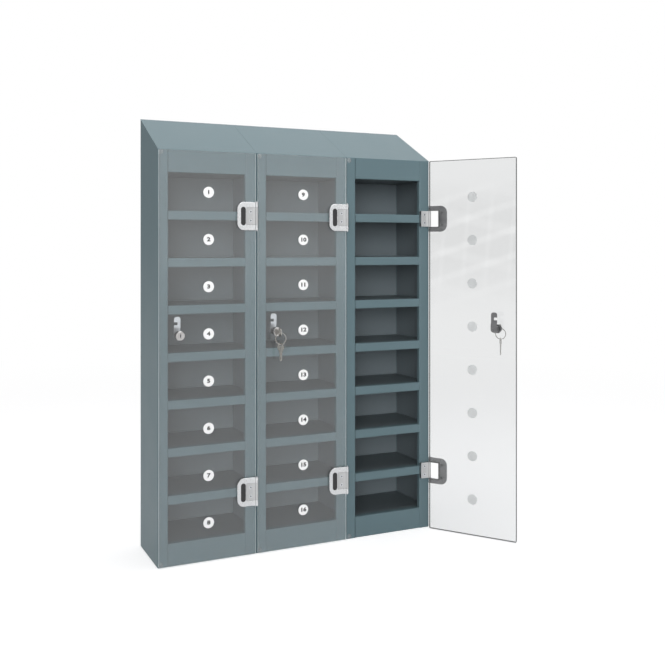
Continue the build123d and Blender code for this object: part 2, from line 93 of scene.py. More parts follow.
# Shader sums: a Wire is one socket, and sums on wires add the Math nodes
class Wire:
    def __init__(self, finish, socket):
        self.finish = finish
        self.socket = socket

    def maths(self, operation, *values):
        return self.finish.node(
            "ShaderNodeMath", {"operation": operation}, dict(enumerate(values))
        )

    def __add__(self, other):
        return self.maths("ADD", self, other)

    def __sub__(self, other):
        return self.maths("SUBTRACT", self, other)

    def __rsub__(self, other):
        return self.maths("SUBTRACT", other, self)

    def __mul__(self, other):
        return self.maths("MULTIPLY", self, other)

    def __pow__(self, other):
        return self.maths("POWER", self, other)

    def __abs__(self):
        return self.maths("ABSOLUTE", self)

    def sine(self):
        return self.maths("SINE", self)

    def pingPong(self, length):
        return self.maths("PINGPONG", self, length)

    __radd__ = __add__
    __rmul__ = __mul__


def grey(level):
    return (level, level, level, 1)


def tinted(colour, factor):
    return tuple(channel * factor for channel in colour) + (1,)


# A node tree that grows by one method, for a material or for the world
class Finish:
    def __init__(self, owner):
        self.owner = owner
        owner.use_nodes = True
        self.tree = owner.node_tree
        self.tree.nodes.clear()

    def node(self, kind, settings={}, inputs={}, output=0):
        made = self.tree.nodes.new(kind)
        for name, value in settings.items():
            setattr(made, name, value)
        for name, value in inputs.items():
            if isinstance(value, Wire):
                self.tree.links.new(value.socket, made.inputs[name])
            else:
                made.inputs[name].default_value = value
        return Wire(self, made.outputs[output])

    def place(self, stretch=(1, 1, 1)):
        spot = self.node("ShaderNodeTexCoord", output="Object")
        return self.node("ShaderNodeMapping", {}, {"Vector": spot, "Scale": stretch})

    def noise(self, size, detail=2, roughness=0.5, stretch=(1, 1, 1)):
        inputs = {
            "Vector": self.place(stretch),
            "Scale": 1 / size,
            "Detail": detail,
            "Roughness": roughness,
        }
        return self.node("ShaderNodeTexNoise", {}, inputs)

    def measured(self, attribute):
        # a distance that keepDistances has put on the mesh
        return self.node("ShaderNodeAttribute", {"attribute_name": attribute}, output="Fac")

    def blendColours(self, factor, first, second):
        return self.node(
            "ShaderNodeMix", {"data_type": "RGBA"}, {0: factor, 6: first, 7: second}, output=2
        )

    def tones(self, factor, colour, darkest, palest):
        return self.blendColours(factor, tinted(colour, darkest), tinted(colour, palest))

    def rise(self, value, low, high):
        # 0 below low, 1 above high, and a soft step between them
        inputs = {"Value": value, "From Min": low, "From Max": high}
        return self.node("ShaderNodeMapRange", {"interpolation_type": "SMOOTHSTEP"}, inputs)

    def along(self, spot, direction):
        # how far a place or a direction lies along another one
        return self.node(
            "ShaderNodeVectorMath", {"operation": "DOT_PRODUCT"}, {0: spot, 1: direction}, "Value"
        )

    def bump(self, height, distance):
        inputs = {"Height": height, "Distance": distance, "Strength": 1.0}
        return self.node("ShaderNodeBump", {}, inputs)

    def coat(self, inputs):
        return self.node("ShaderNodeBsdfPrincipled", {}, inputs)

    def clear(self, tint):
        return self.node("ShaderNodeBsdfTransparent", {}, {"Color": tint})

    def glow(self, strength):
        return self.node("ShaderNodeEmission", {}, {"Color": grey(1), "Strength": strength})

    def blendShaders(self, factor, first, second):
        return self.node("ShaderNodeMixShader", {}, {0: factor, 1: first, 2: second})

    def close(self, surface, outputKind="ShaderNodeOutputMaterial"):
        out = self.tree.nodes.new(outputKind)
        self.tree.links.new(surface.socket, out.inputs["Surface"])
        return self.owner


def newFinish(name):
    return Finish(bpy.data.materials.new(name))


# Powder coat of the steel bodies
steelCoatLook = {
    "colour": (0.108, 0.163, 0.182),
    "mottle": 0.05,
    "cloud": {"size": 90 * mm, "detail": 4},
    "cloudShare": 0.7,
    "speck": {"size": 0.9 * mm, "detail": 1},
    "peel": {"size": 1.6 * mm, "detail": 3, "roughness": 0.6},
    "peelDepth": 0.012 * mm,
    "gloss": 0.40,
    "glossSpread": 0.10,
    "sheen": 0.25,
}
# painted shade: inside the compartments the coat takes a greyer tone that stands in for the shade there; each pair
# of places across the lockers, or up them, is where that tone fades in or out
compartmentShadeLook = {
    "colour": (0.130, 0.156, 0.170),
    "front": (-85 * mm, -60 * mm),
    "back": (87.8 * mm, 88.6 * mm),
    "ends": (374.4 * mm, 375.2 * mm),
    "top": (950 * mm, 970 * mm),
}


def thinCoat(finish, look):
    # 1 inside the compartments, where the coat takes its painted shade tone, and 0 outside them
    spot = finish.place()
    deep = finish.along(spot, (0, 1, 0))
    aside = abs(finish.along(spot, (1, 0, 0)))
    high = finish.along(spot, (0, 0, 1))
    behindFrame = finish.rise(deep, *look["front"]) * (1 - finish.rise(deep, *look["back"]))
    betweenEnds = 1 - finish.rise(aside, *look["ends"])
    underRoof = 1 - finish.rise(high, *look["top"])
    return behindFrame * betweenEnds * underRoof


def makeSteelCoat(look, shadeLook):
    finish = newFinish("powder_coat_blue_grey")
    cloud = finish.noise(**look["cloud"])
    speck = finish.noise(**look["speck"])
    peel = finish.noise(**look["peel"])
    # painted shade: the compartments' greyer tone is blended in where the mask is 1
    inside = thinCoat(finish, shadeLook)
    tones = [
        finish.blendColours(inside, tinted(look["colour"], tone), tinted(shadeLook["colour"], tone))
        for tone in (1 - look["mottle"], 1 + look["mottle"])
    ]
    mottle = cloud * look["cloudShare"] + speck * (1 - look["cloudShare"])
    surface = finish.coat({
        "Base Color": finish.blendColours(mottle, *tones),
        "Roughness": look["gloss"] + look["glossSpread"] * cloud,
        "Normal": finish.bump(peel, look["peelDepth"]),
        "Specular IOR Level": look["sheen"],
    })
    return finish.close(surface)


# Clear doors: two polished faces, and a cut edge whose pale colour is a painted highlight of the light that the
# sheet gathers there
clearSheetLook = {
    "tint": (0.975, 0.982, 0.984, 1),
    "polish": 0.010,
    "faceOn": 0.05,
    "facingBlend": 0.5,
    "edgeOnPower": 5,
    "haze": 0.012,
    "hazeColour": (0.80, 0.83, 0.84, 1),
    "dust": {"size": 35 * mm, "detail": 5, "roughness": 0.65},
    "dustLeast": 0.6,
    "dustSpread": 0.8,
}
# painted light and shade: one sheet in two tints, the open door's darker where it is seen against white, the
# closed doors' clearer so that more light falls through onto what is behind them
shadedOpenSheetLook = {**clearSheetLook, "tint": (0.898, 0.902, 0.903, 1)}


def makeClearSheet(name, look):
    finish = newFinish(name)
    dust = finish.noise(**look["dust"])
    haze = look["haze"] * (look["dustLeast"] + look["dustSpread"] * dust)
    film = finish.node("ShaderNodeBsdfDiffuse", {}, {"Color": look["hazeColour"]})
    sheet = finish.blendShaders(haze, finish.clear(look["tint"]), film)
    blend = {"Blend": look["facingBlend"]}
    facing = finish.node("ShaderNodeLayerWeight", {}, blend, output="Facing")
    reflected = look["faceOn"] + (1 - look["faceOn"]) * facing ** look["edgeOnPower"]
    gloss = {"Color": grey(1), "Roughness": look["polish"]}
    shine = finish.node("ShaderNodeBsdfGlossy", {}, gloss)
    return finish.close(finish.blendShaders(reflected, sheet, shine))


# painted highlight: the cut edge's pale colour stands in for light led through the sheet and out at its edge
litEdgeLook = {
    "colour": (0.64, 0.69, 0.71),
    "tones": (0.85, 1.2),
    "roughness": 0.22,
    "roughSpread": 0.2,
    "cover": 0.88,
    "coverSpread": 0.1,
    "sawLines": {"size": 0.25 * mm, "stretch": (1, 1, 0.15)},
    "sawDepth": 0.01 * mm,
}
# the open door's edge turns away from the light and shows darker against the white
shadedEdgeLook = {
    **litEdgeLook,
    "colour": (0.085, 0.09, 0.092),
    "roughness": 0.30,
    "cover": 0.97,
}


def makeSheetEdge(name, look):
    finish = newFinish(name)
    sawn = finish.noise(**look["sawLines"])
    surface = finish.coat({
        "Base Color": finish.tones(sawn, look["colour"], *look["tones"]),
        "Roughness": look["roughness"] + look["roughSpread"] * sawn,
        "Alpha": look["cover"] - look["coverSpread"] * sawn,
        "Normal": finish.bump(sawn, look["sawDepth"]),
    })
    return finish.close(surface)


# Metals and mouldings: a fine grain in the surface, and broader handling marks in tone and gloss.
# A kind is what all looks of one family share.
metalKind = {
    "metallic": 1.0,
    "grain": {"detail": 3, "roughness": 0.6},
    "marks": {"size": 9 * mm, "detail": 5, "roughness": 0.7},
    "tones": (0.88, 1.08),
    "glossier": 0.08,
    "duller": 0.16,
}
mouldingKind = {
    "metallic": 0.0,
    "grain": {"detail": 2, "roughness": 0.5},
    "marks": {"size": 6 * mm, "detail": 4, "roughness": 0.65},
    "tones": (0.94, 1.06),
    "glossier": 0.05,
    "duller": 0.12,
}
# each look: colour, roughness, and the size and depth of its grain
metalLooks = {
    "zinc_in_shade": ((0.05, 0.05, 0.055), 0.50, 0.4 * mm, 0.01 * mm),
    # a darker zinc, painted shade on the parts behind the doors
    "zinc_in_painted_shade": ((0.19, 0.19, 0.195), 0.42, 0.8 * mm, 0.008 * mm),
    "zinc_plate": ((0.62, 0.64, 0.67), 0.34, 0.8 * mm, 0.006 * mm),
    "nickel_plate": ((0.50, 0.49, 0.485), 0.20, 0.3 * mm, 0.004 * mm),
    "key_blank": ((0.40, 0.39, 0.365), 0.26, 0.25 * mm, 0.006 * mm),
}
mouldingLooks = {
    "white_disc_film": ((0.90, 0.905, 0.905), 0.32, 0.4 * mm, 0.004 * mm),
    "number_ink": ((0.022, 0.022, 0.024), 0.45, 0.3 * mm, 0.004 * mm),
    "black_cap_moulding": ((0.012, 0.012, 0.013), 0.48, 0.5 * mm, 0.02 * mm),
    "casting_back_painted_shade": ((0.17, 0.17, 0.175), 0.60, 0.6 * mm, 0.03 * mm), # the rough side of the leaves, in a dark grey that is painted shade
}


def makeGrained(name, look, kind):
    finish = newFinish(name)
    colour, roughness, grainSize, grainDepth = look
    grain = finish.noise(grainSize, **kind["grain"])
    marks = finish.noise(**kind["marks"])
    surface = finish.coat({
        "Base Color": finish.tones(marks, colour, *kind["tones"]),
        "Metallic": kind["metallic"],
        "Roughness": roughness - kind["glossier"] + kind["duller"] * marks,
        "Normal": finish.bump(grain, grainDepth),
    })
    return finish.close(surface)


# Hinge castings: bright rims, and a crease sunk at a set distance from the knuckle and darkened with painted shade
castingKind = {**metalKind, "tones": (0.90, 1.06), "glossier": 0.06, "duller": 0.12}
castingLooks = {
    "hinge_casting": {"colour": (0.60, 0.61, 0.62), "roughness": 0.27},
    "hinge_plate": {"colour": (0.46, 0.465, 0.47), "roughness": 0.33},
}
creaseLook = {
    "at": 4.4 * mm,
    "half": 0.75 * mm,
    "tone": 0.28,
    "sunk": 0.25 * mm,
    "grain": 0.5 * mm,
    "grainDepth": 0.02 * mm,
}


def makeCasting(name, look, kind, crease):
    finish = newFinish(name)
    flat = finish.rise(abs(finish.measured("fromKnuckle") - crease["at"]), 0.0, crease["half"])
    grain = finish.noise(crease["grain"], **kind["grain"])
    marks = finish.noise(**kind["marks"])
    plain = finish.tones(marks, look["colour"], *kind["tones"])
    # painted shade: the crease takes a darker tone of the metal
    creaseShade = tinted(look["colour"], crease["tone"])
    # the height is in metres already, so the bump's distance is 1
    height = flat * crease["sunk"] + grain * crease["grainDepth"]
    surface = finish.coat({
        "Base Color": finish.blendColours(flat, creaseShade, plain),
        "Metallic": kind["metallic"],
        "Roughness": look["roughness"] - kind["glossier"] + kind["duller"] * marks,
        "Normal": finish.bump(height, 1.0),
    })
    return finish.close(surface)


# Thread of the lock's barrel: its turns follow the barrel's own length. Painted shade darkens its grooves and a
# painted highlight lightens its crests, on a dark metal that is painted shade behind the door
threadLook = {
    "colour": (0.20, 0.20, 0.205),
    "tones": (0.35, 1.5),
    "roughness": 0.36,
    "roughSpread": 0.12,
    "marks": {"size": 4 * mm, "detail": 4},
    "pitch": 1.0 * mm,
    "depth": 0.30 * mm,
}


def makeThread(look):
    finish = newFinish("barrel_thread")
    crestHeightAndShade = finish.measured("alongBarrel").pingPong(look["pitch"] / 2) * (2 / look["pitch"])
    marks = finish.noise(**look["marks"])
    surface = finish.coat({
        # painted shade in the grooves and painted highlight on the crests
        "Base Color": finish.tones(crestHeightAndShade, look["colour"], *look["tones"]),
        "Metallic": 1.0,
        "Roughness": look["roughness"] + look["roughSpread"] * marks,
        "Normal": finish.bump(crestHeightAndShade, look["depth"]),
    })
    return finish.close(surface)


bufferLook = {
    "tint": (0.93, 0.95, 0.95, 1),
    "body": (0.50, 0.55, 0.57, 1),
    "swirl": {"size": 3 * mm, "detail": 3},
    "cloud": 0.25,
    "cloudSpread": 0.2,
    "roughness": 0.18,
    "roughSpread": 0.1,
}


def makeClearBuffer(look):
    finish = newFinish("clear_soft_buffer")
    swirl = finish.noise(**look["swirl"])
    rough = look["roughness"] + look["roughSpread"] * swirl
    body = finish.coat({"Base Color": look["body"], "Roughness": rough})
    cloud = look["cloud"] + look["cloudSpread"] * swirl
    return finish.close(finish.blendShaders(cloud, finish.clear(look["tint"]), body))


steelCoat = makeSteelCoat(steelCoatLook, compartmentShadeLook)
clearSheet = makeClearSheet("clear_sheet_polished", clearSheetLook)
shadedOpenSheet = makeClearSheet("clear_sheet_open_door_shaded", shadedOpenSheetLook)
litEdge = makeSheetEdge("clear_sheet_lit_edge", litEdgeLook)
shadedEdge = makeSheetEdge("clear_sheet_shaded_edge", shadedEdgeLook)
clearBuffer = makeClearBuffer(bufferLook)
barrelThread = makeThread(threadLook)
metals = {name: makeGrained(name, look, metalKind) for name, look in metalLooks.items()}
castings = {
    name: makeCasting(name, look, castingKind, creaseLook) for name, look in castingLooks.items()
}
mouldings = {name: makeGrained(name, look, mouldingKind) for name, look in mouldingLooks.items()}
finishOfSlot = {
    "steel_coat": steelCoat,
    "clear_door": clearSheet,
    "hinge_metal": castings["hinge_casting"],
    "black_cap": mouldings["black_cap_moulding"],
    "fastener_steel": metals["zinc_plate"],
    "clear_buffer": clearBuffer,
    "white_disc": mouldings["white_disc_film"],
    "lock_metal": metals["nickel_plate"],
    "cam_steel": metals["zinc_plate"],
    "key_metal": metals["key_blank"],
}
for name, node in nodes.items():
    for materialSlot in node.material_slots:
        materialSlot.material = finishOfSlot[slotOfNode[name]]
print("finishes made")


# Modelling steps used by more than one piece
mendLook = {"weld": 0.002 * mm, "flatAngle": 0.5, "sliver": 0.002 * mm}
smoothAngle = 35


def pick(*pieces):
    bpy.ops.object.select_all(action="DESELECT")
    for piece in pieces:
        piece.select_set(True)
    bpy.context.view_layer.objects.active = pieces[0]


def editAll(piece):
    pick(piece)
    bpy.ops.object.mode_set(mode="EDIT")
    bpy.ops.mesh.select_all(action="SELECT")


def leaveEdit():
    bpy.ops.object.mode_set(mode="OBJECT")


def editFaces(piece, wanted):
    # edit mode, with only the faces that pass the test picked
    editAll(piece)
    bpy.ops.mesh.select_mode(type="FACE")
    bpy.ops.mesh.select_all(action="DESELECT")
    leaveEdit()
    for face in piece.data.polygons:
        face.select = wanted(face)
    bpy.ops.object.mode_set(mode="EDIT")


def towards(direction, least=0.9):
    # a test for faces that look one way; least is the cosine of the widest angle to it
    return lambda face: face.normal.dot(Vector(direction)) > least


def applyModifier(piece, kind, **settings):
    pick(piece)
    modifier = piece.modifiers.new(kind.lower(), kind)
    for name, value in settings.items():
        setattr(modifier, name, value)
    bpy.ops.object.modifier_apply(modifier=modifier.name)


def roundEdges(piece, width, segments=2, limit=30):
    applyModifier(
        piece,
        "BEVEL",
        width=width,
        segments=segments,
        limit_method="ANGLE",
        angle_limit=math.radians(limit),
        use_clamp_overlap=True,
        harden_normals=False,
    )


def combine(piece, other, operation="DIFFERENCE"):
    # the new faces keep the other piece's material, and the other piece is used up
    applyModifier(
        piece,
        "BOOLEAN",
        operation=operation,
        object=other,
        solver="EXACT",
        material_mode="TRANSFER",
    )
    bpy.data.objects.remove(other)


def smooth(piece):
    # broad flat faces keep their own normals, and the narrow rounds turn between them
    pick(piece)
    bpy.ops.object.shade_smooth_by_angle(angle=math.radians(smoothAngle))
    applyModifier(piece, "WEIGHTED_NORMAL", mode="FACE_AREA", weight=100, keep_sharp=True)


def setMaterial(piece, *materials):
    piece.data.materials.clear()
    for material in materials:
        piece.data.materials.append(material)


def shadeFaces(piece, material, wanted):
    # a second material on the faces that pass the test
    piece.data.materials.append(material)
    for face in piece.data.polygons:
        if wanted(face):
            face.material_index = 1


def settle(piece, place):
    # the place goes into the mesh, and the object stays at the origin
    bpy.context.view_layer.update()
    piece.data.transform(place @ piece.matrix_world)
    piece.matrix_world = Matrix.Identity(4)


def copyMesh(piece, name):
    copied = bpy.data.objects.new(name, piece.data.copy())
    bpy.context.scene.collection.objects.link(copied)
    return copied


def joinAll(pieces, name):
    pick(*pieces)
    bpy.ops.object.join()
    joined = bpy.context.view_layer.objects.active
    joined.name = name
    return joined


def copiesAt(piece, spots, name):
    # one piece made of a copy at each spot; the first piece is used up
    copies = []
    for spot in spots:
        copied = copyMesh(piece, name)
        settle(copied, Matrix.Translation(spot))
        copies.append(copied)
    bpy.data.objects.remove(piece)
    return joinAll(copies, name)


def keepDistances(piece, attribute, distances):
    # a distance for each point, for its material to use
    kept = piece.data.attributes.new(attribute, "FLOAT", "POINT")
    kept.data.foreach_set("value", distances)


def mendedCopy(node, name):
    # a CAD node's loose triangles, welded and cleared of their flat inner edges
    piece = copyMesh(nodes[node], name)
    editAll(piece)
    bpy.ops.mesh.customdata_custom_splitnormals_clear()
    bpy.ops.mesh.mark_sharp(clear=True)
    bpy.ops.mesh.remove_doubles(threshold=mendLook["weld"])
    bpy.ops.mesh.dissolve_limited(angle_limit=math.radians(mendLook["flatAngle"]))
    leaveEdit()
    return piece


def finishPiece(piece, body, slot, *replaced):
    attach(piece, body)
    if replaced:
        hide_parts(*replaced)


def refine(node, name, width, segments=2, limit=30):
    # a CAD node with its edges rounded, in the same place
    piece = mendedCopy(node, name)
    roundEdges(piece, width, segments, limit)
    editAll(piece)
    bpy.ops.mesh.dissolve_degenerate(threshold=mendLook["sliver"]) # where two roundings meet
    leaveEdit()
    smooth(piece)
    setMaterial(piece, finishOfSlot[slotOfNode[node]])
    finishPiece(piece, bodyOfNode[node], slotOfNode[node], node)
    return piece


def makeButton(look, radius, depth, front, side):
    # a round button along Y whose front lies at y = front, with the rim on one side rounded
    bpy.ops.object.select_all(action="DESELECT")
    bpy.ops.mesh.primitive_cylinder_add(
        vertices=look["sides"],
        radius=radius,
        depth=depth,
        location=(0, front + depth / 2, 0),
        rotation=(math.pi / 2, 0, 0),
    )
    button = bpy.context.object
    settle(button, Matrix.Identity(4))
    editFaces(button, towards((0, side, 0)))
    bpy.ops.mesh.bevel(offset=look["round"], segments=look["roundSteps"], affect="EDGES")
    leaveEdit()
    return button


def makeCross(look):
    # a cutter of two tapered arms, whose top lies at y = 0 and whose tip points towards +Y
    stretch = Matrix.Diagonal((look["length"], 2 * look["depth"], look["width"], 1))
    arms = []
    for turn in (0, math.pi / 2):
        bpy.ops.object.select_all(action="DESELECT")
        bpy.ops.mesh.primitive_cube_add(size=1)
        arm = bpy.context.object
        settle(arm, Matrix.Rotation(turn, 4, "Y") @ stretch)
        editFaces(arm, towards((0, 1, 0)))
        bpy.ops.transform.resize(
            value=(look["taper"], 1, look["taper"]), center_override=(0, look["depth"], 0)
        )
        leaveEdit()
        arms.append(arm)
    combine(arms[0], arms[1], "UNION")
    return arms[0]


# Clear doors, with their rims flame polished
doorLook = {
    "edgeRound": 1.1 * mm,
    "edgeSteps": 3,
    "edgeLimit": 50,
    "shadedEdgeBand": 1.2 * mm,
    "faceGap": 0.03 * mm,
    "flat": 0.999,
}
doors = {}
for number in lockers:
    door = mendedCopy(f"door_{number}", f"clear_door_{number}")
    roundEdges(door, doorLook["edgeRound"], doorLook["edgeSteps"], doorLook["edgeLimit"])
    outward = doorFront(number)
    editFaces(door, lambda face: abs(face.normal.dot(outward)) > doorLook["flat"])
    if restAngle(number) > 0:
        # painted shade: a band round each face takes the shaded edge's dark colour, standing in for the cut edge
        # seen through the sheet
        bpy.ops.mesh.inset(thickness=doorLook["shadedEdgeBand"], depth=0)
        setMaterial(door, shadedOpenSheet, shadedEdge)
    else:
        setMaterial(door, clearSheet, litEdge)
    leaveEdit()
    for face in door.data.polygons:
        face.material_index = 0 if face.select else 1
    # a hair's breadth back, so that the discs and hinge leaves on the door share no plane with it
    editFaces(door, towards(outward, doorLook["flat"]))
    bpy.ops.transform.translate(value=-doorLook["faceGap"] * outward)
    leaveEdit()
    smooth(door)
    finishPiece(door, f"door_panel_{number}", "clear_door", f"door_{number}")
    doors[number] = door
print("clear doors made")


# Numbers on the discs, counted down each door and on to the next
numberLook = {
    "height": 9.2 * mm,
    "capShare": 0.7, # a capital's share of the letter size
    "weight": 0.62 * mm,
    "widen": 1.25,
    "raised": 0.06 * mm,
    "sink": 0.02 * mm,
    "weld": 0.001 * mm,
    "curveSteps": 4,
    "ownSteps": {"3": 5, "8": 6}, # whose thickened outlines cross themselves at the usual steps
}
compartments = 8


def makeNumber(value, x, y, z):
    bpy.ops.object.select_all(action="DESELECT")
    bpy.ops.object.text_add()
    text = bpy.context.object
    text.data.body = str(value)
    text.data.size = numberLook["height"] / numberLook["capShare"]
    text.data.offset = numberLook["weight"]
    text.data.extrude = numberLook["raised"] / 2
    text.data.align_x = "CENTER"
    text.data.align_y = "CENTER"
    steps = [numberLook["ownSteps"].get(figure, numberLook["curveSteps"]) for figure in str(value)]
    text.data.resolution_u = max(steps)
    pick(text)
    bpy.ops.object.convert(target="MESH")
    piece = bpy.context.object
    editAll(piece)
    bpy.ops.mesh.remove_doubles(threshold=numberLook["weld"])
    bpy.ops.mesh.dissolve_degenerate(threshold=mendLook["sliver"])
    bpy.ops.mesh.normals_make_consistent(inside=False)
    leaveEdit()
    widened = Matrix.Diagonal((numberLook["widen"], 1, 1, 1))
    upright = Matrix.Rotation(math.pi / 2, 4, "X")
    settle(piece, Matrix.Translation((x, y, z)) @ upright @ widened)
    return piece


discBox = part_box("number_discs_1")
discX = middle("number_discs_1").x - lockerCorner(1).x
discFront = discBox[0].y - lockerCorner(1).y
discRadius = (discBox[1].x - discBox[0].x) / 2
topDisc = discBox[1].z - discRadius
discPitch = (discBox[1].z - discBox[0].z - 2 * discRadius) / (compartments - 1)
numberY = discFront + numberLook["sink"] - numberLook["raised"] / 2
for number in lockers:
    figures = []
    for row in range(compartments):
        value = (number - 1) * compartments + row + 1
        figures.append(makeNumber(value, discX, numberY, topDisc - row * discPitch))
    numbers = joinAll(figures, f"door_numbers_{number}")
    settle(numbers, doorPlace(number))
    setMaterial(numbers, mouldings["number_ink"])
    finishPiece(numbers, f"door_panel_{number}", "black_cap")
print("numbers made")


# Soft bumpers that the doors close on: low domes, two to a locker
bumperLook = {"sides": 40, "round": 0.75 * mm, "roundSteps": 4, "inset": 7.0 * mm}
bumperLow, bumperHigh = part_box("door_bumpers")
bumperRadius = bumperLook["inset"] - (bumperLow.x - lockerCorner(1).x)
bumper = makeButton(bumperLook, bumperRadius, bumperHigh.y - bumperLow.y, bumperLow.y, -1)
bumperSpots = [
    (lockerCorner(number).x + bumperLook["inset"], 0, level)
    for number in lockers
    for level in (bumperLow.z + bumperRadius, bumperHigh.z - bumperRadius)
]
bumpers = copiesAt(bumper, bumperSpots, "soft_bumpers")
smooth(bumpers)
setMaterial(bumpers, clearBuffer)
finishPiece(bumpers, "carcass", "clear_buffer", "door_bumpers")
print("bumpers made")


# Hinges: castings with softened edges, black caps in their bars, screws with nuts behind the door
hingeLook = {
    "leafRound": 0.45 * mm,
    "frameRound": 0.35 * mm,
    "capRound": 0.45 * mm,
    "capSteps": 3,
    "nutRound": 0.25 * mm,
    "castingLimit": 25,
    "againstSheet": 0.95,
    "nutMargin": 0.1 * mm,
}
for number in lockers:
    leaves = refine(
        f"hinge_door_leaves_{number}",
        f"hinge_d_leaves_{number}",
        hingeLook["leafRound"],
        limit=hingeLook["castingLimit"],
    )
    knuckle = hingeLine(number)
    alongDoor = doorTurn(number) @ Vector((-1, 0, 0))
    fromKnuckle = [(vertex.co - knuckle).dot(alongDoor) for vertex in leaves.data.vertices]
    keepDistances(leaves, "fromKnuckle", fromKnuckle)
    inward = -doorFront(number)
    # painted shade: the leaves' faces that lie against the sheet take a dark grey
    shadeFaces(leaves, mouldings["casting_back_painted_shade"], towards(inward, hingeLook["againstSheet"]))
    refine(
        f"hinge_caps_{number}",
        f"hinge_bar_caps_{number}",
        hingeLook["capRound"],
        hingeLook["capSteps"],
    )
    screws = refine(
        f"hinge_door_screws_{number}", f"hinge_screws_and_nuts_{number}", hingeLook["nutRound"]
    )
    doorBack = max(vertex.co.dot(inward) for vertex in doors[number].data.vertices)
    nutsFrom = doorBack - hingeLook["nutMargin"]
    # painted shade on the nut ends and screw ends behind the door
    shadeFaces(screws, metals["zinc_in_painted_shade"], lambda face: face.center.dot(inward) > nutsFrom)
frameLeaves = refine(
    "hinge_frame_leaves",
    "hinge_fixed_leaves",
    hingeLook["frameRound"],
    limit=hingeLook["castingLimit"],
)
setMaterial(frameLeaves, castings["hinge_plate"])
knuckles = [hingeLine(number).x for number in lockers]
fromNearest = [
    min((knuckle - vertex.co.x for knuckle in knuckles), key=abs)
    for vertex in frameLeaves.data.vertices
]
keepDistances(frameLeaves, "fromKnuckle", fromNearest)
print("hinges made")


# Frame screws of the hinges: cross recesses cut into the heads, since these show
recessLook = {"length": 5.4 * mm, "width": 2.0 * mm, "depth": 1.5 * mm, "taper": 0.6}
frameScrewLook = {"x": 231.0 * mm, "spacing": 11.0 * mm, "leafHalf": 21.0 * mm}
frameScrews = mendedCopy("hinge_frame_screws", "hinge_frame_screws_crossed")
setMaterial(frameScrews, metals["zinc_plate"])
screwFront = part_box("hinge_frame_screws")[0].y
leafLow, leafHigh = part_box("hinge_frame_leaves")
cross = makeCross(recessLook)
setMaterial(cross, metals["zinc_in_shade"])
crossSpots = [
    (
        lockerCorner(number).x + frameScrewLook["x"],
        screwFront,
        level + side * frameScrewLook["spacing"],
    )
    for number in lockers
    for level in (leafLow.z + frameScrewLook["leafHalf"], leafHigh.z - frameScrewLook["leafHalf"])
    for side in (-1, 1)
]
combine(frameScrews, copiesAt(cross, crossSpots, "crosses"))
smooth(frameScrews)
finishPiece(frameScrews, "carcass", "fastener_steel", "hinge_frame_screws")
print("hinge screws made")


# Locks: barrel, plug, nut and cam softened; the screw that holds the cam is made here
lockLook = {
    "barrelRound": 0.25 * mm,
    "plugRound": 0.15 * mm,
    "nutRound": 0.4 * mm,
    "camRound": 0.3 * mm,
    "threadStart": 3.2 * mm,
    "threadInside": 7.0 * mm,
    "endFace": 0.5,
    "paintedShadeSide": -0.5,
}
camScrewLook = {
    "radius": 3.6 * mm,
    "height": 1.9 * mm,
    "round": 0.9 * mm,
    "roundSteps": 4,
    "sides": 32,
}
camRecessLook = {"length": 3.6 * mm, "width": 0.7 * mm, "depth": 1.0 * mm, "taper": 0.6}
lockX = middle("lock_barrel_1").x - lockerCorner(1).x
lockZ = middle("lock_barrel_1").z
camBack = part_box("lock_cam_1")[1].y - lockerCorner(1).y


def makeCamScrew():
    # pan head that faces +Y, with its underside at y = 0
    screw = makeButton(camScrewLook, camScrewLook["radius"], camScrewLook["height"], 0, 1)
    cutter = makeCross(camRecessLook)
    onHead = Matrix.Translation((0, camScrewLook["height"], 0))
    settle(cutter, onHead @ Matrix.Rotation(math.pi, 4, "Z"))
    combine(screw, cutter)
    return screw


def threadBarrel(barrel, number):
    # everything behind the face is threaded, out to the barrel's full radius
    outward = doorFront(number)
    front = max(vertex.co.dot(outward) for vertex in barrel.data.vertices)
    depths = [front - vertex.co.dot(outward) for vertex in barrel.data.vertices]
    keepDistances(barrel, "alongBarrel", depths)
    axis = doorPlace(number) @ Vector((lockX, 0, lockZ))

    def threaded(face):
        fromAxis = face.center - axis
        fromAxis -= fromAxis.dot(outward) * outward
        behindFace = front - face.center.dot(outward) > lockLook["threadStart"]
        sideways = abs(face.normal.dot(outward)) < lockLook["endFace"]
        return behindFace and sideways and fromAxis.length > lockLook["threadInside"]

    shadeFaces(barrel, barrelThread, threaded)


camScrew = makeCamScrew()
for number in lockers:
    barrel = refine(
        f"lock_barrel_{number}", f"lock_barrel_threaded_{number}", lockLook["barrelRound"]
    )
    threadBarrel(barrel, number)
    refine(f"lock_plug_{number}", f"lock_plug_keyed_{number}", lockLook["plugRound"])
    nut = refine(f"lock_nut_{number}", f"lock_nut_softened_{number}", lockLook["nutRound"])
    cam = refine(f"lock_cam_{number}", f"lock_cam_pressed_{number}", lockLook["camRound"])
    for piece in (nut, cam):
        # painted shade on all but the faces that look out of the door
        paintedShadeSide = towards(-doorFront(number), lockLook["paintedShadeSide"])
        shadeFaces(piece, metals["zinc_in_painted_shade"], paintedShadeSide)
    screw = copyMesh(camScrew, f"lock_cam_screw_{number}")
    settle(screw, doorPlace(number) @ Matrix.Translation((lockX, camBack, lockZ)))
    smooth(screw)
    # painted shade: the cam screw behind the door takes the dark zinc
    setMaterial(screw, metals["zinc_in_painted_shade"])
    finishPiece(screw, f"lock_cylinder_{number}", "fastener_steel")
bpy.data.objects.remove(camScrew)
print("locks made")


# Keys on a split ring of two turns
keyLook = {"round": 0.25 * mm}
ringLook = {
    "wire": (0.85 * mm, 0.80 * mm),
    "turns": 1.96,
    "lead": 1.04,
    "steps": 96,
    "corner": 0.22 * mm,
    "cornerSteps": 2,
}
ringLow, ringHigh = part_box("key_ring_2")
ringOuter = (ringHigh.z - ringLow.z) / 2


